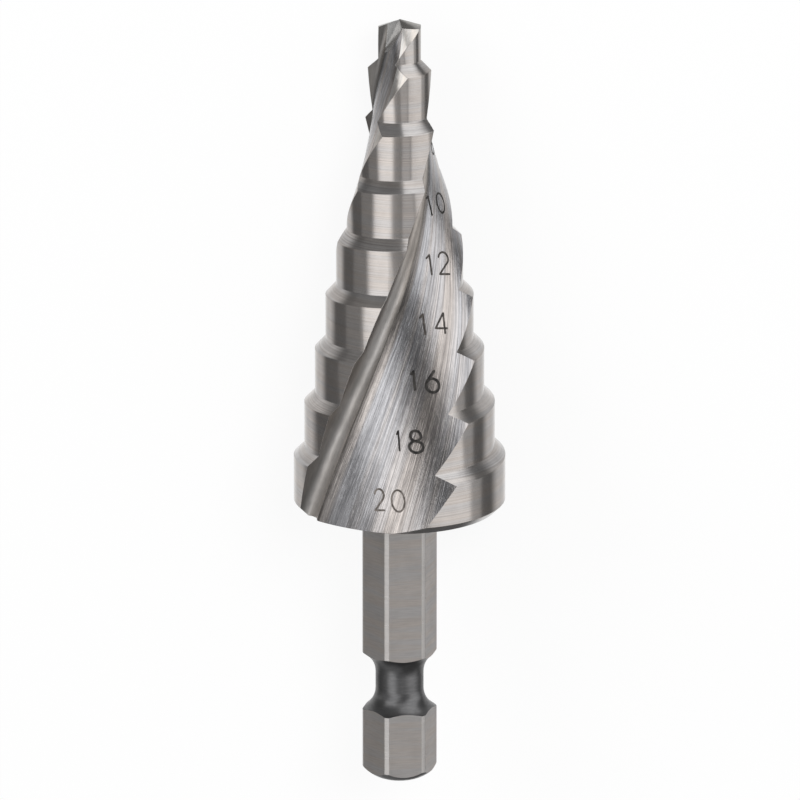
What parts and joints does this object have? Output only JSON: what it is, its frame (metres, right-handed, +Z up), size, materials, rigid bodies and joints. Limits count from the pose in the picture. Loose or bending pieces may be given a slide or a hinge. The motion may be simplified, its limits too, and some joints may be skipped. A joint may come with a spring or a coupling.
{
  "type": "step drill",
  "caption": "Cone-shaped step drill for sheet metal, with round steps that grow evenly, two twisted flutes, a split point and a hexagonal quick-change shank.",
  "frame": {"origin": "middle of the lying drill's box, on the surface that it lies on", "axes": "-Y from the shank to the point, which dips 5.9 degrees; +Z up, away from the surface that it lies on"},
  "size_m": [0.02, 0.0742, 0.0183],
  "materials": {
    "tool_steel": "bare ground steel, bright on the lands and flutes, satin on the hexagon"
  },
  "bodies": {
    "root": {"step_drill": "tool_steel"}
  },
  "joints": []
}
